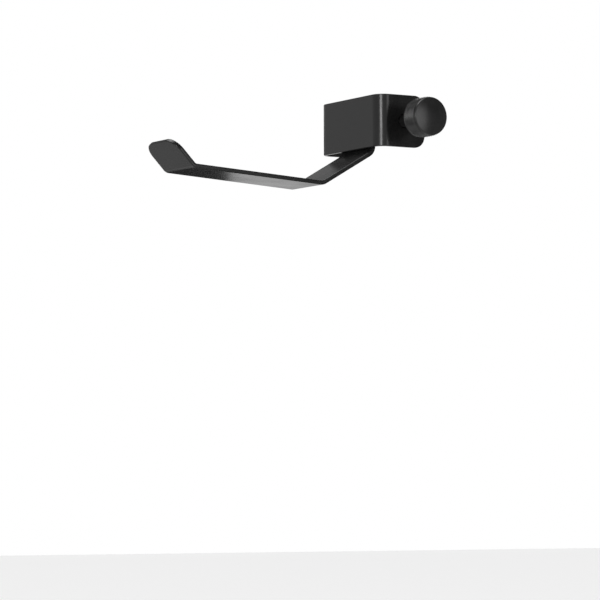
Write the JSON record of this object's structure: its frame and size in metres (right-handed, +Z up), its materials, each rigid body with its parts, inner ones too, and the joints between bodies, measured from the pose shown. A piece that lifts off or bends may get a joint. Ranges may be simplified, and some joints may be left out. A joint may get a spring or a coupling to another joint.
{
  "type": "headphone hook",
  "caption": "Black steel headphone hook that clamps on a round stand tube: bent-strip clamp with a knurled screw, and a long sloping arm with a turned-up end that holds a headband.",
  "frame": {"origin": "point on the fixed jaw's inner face that the clamp screw's axis meets, at mid-height of the clamp bracket", "axes": "+X from the fixed jaw along the clamp screw's axis to the knob, +Y towards the clamp's open mouth, with the arm reaching out along -Y, +Z up"},
  "size_m": [0.0772, 0.1329, 0.0441],
  "materials": {
    "powder_coat": "fine satin black powder coat over steel strip",
    "coated_nut": "steel nut coated with the bracket in satin black",
    "screw_steel": "dark zinc-plated steel thread",
    "knob_coat": "satin black over a diamond-knurled turned head",
    "pad_plastic": "matt black plastic"
  },
  "bodies": {
    "hook_frame": {"clamp_bracket": "powder_coat", "hook_arm": "powder_coat", "weld_nut": "coated_nut"},
    "pad": {"pressure_pad": "pad_plastic"},
    "screw": {"clamp_screw": "screw_steel", "knurled_knob": "knob_coat"}
  },
  "joints": [
    {"name": "screw_travel", "type": "slide", "parent": "hook_frame", "child": "pad", "axis": [1, 0, 0], "range_m": [-0.012, 0.021]},
    {"name": "screw_turn", "type": "hinge", "parent": "pad", "child": "screw", "pos_m": [0.04, 0, 0], "axis": [1, 0, 0], "range_deg": [-4321, 7561]}
  ],
  "couplings": [
    {"joint": "screw_turn", "follows": "screw_travel", "rad_per_m": 6283.2}
  ]
}
